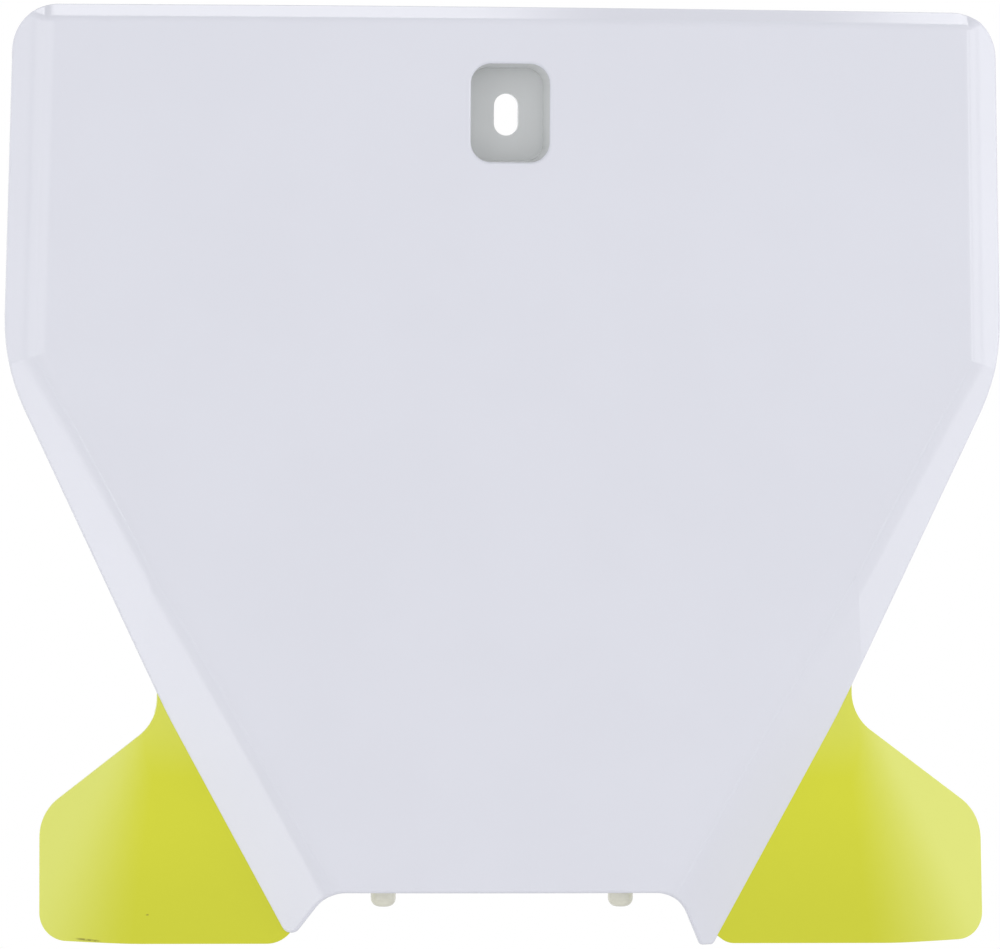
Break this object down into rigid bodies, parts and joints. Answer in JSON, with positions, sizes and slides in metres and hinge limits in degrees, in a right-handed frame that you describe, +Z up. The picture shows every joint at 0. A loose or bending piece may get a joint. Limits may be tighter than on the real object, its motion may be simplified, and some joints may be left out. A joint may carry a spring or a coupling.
{
  "type": "racing number board",
  "caption": "Convex number board for the front of a motocross bike: a white dished panel with a screw recess, a notched foot with holding lugs, and yellow side wings.",
  "frame": {"origin": "middle of the screw slot, on the rear seat of the screw boss", "axes": "+X to the right seen from the front, +Y to the back of the board, +Z up"},
  "size_m": [0.2614, 0.0229, 0.245],
  "materials": {
    "white_plastic": "gloss",
    "yellow_plastic": "satin"
  },
  "bodies": {
    "root": {"front_panel": "white_plastic", "left_wing": "yellow_plastic", "right_wing": "yellow_plastic"}
  },
  "joints": []
}
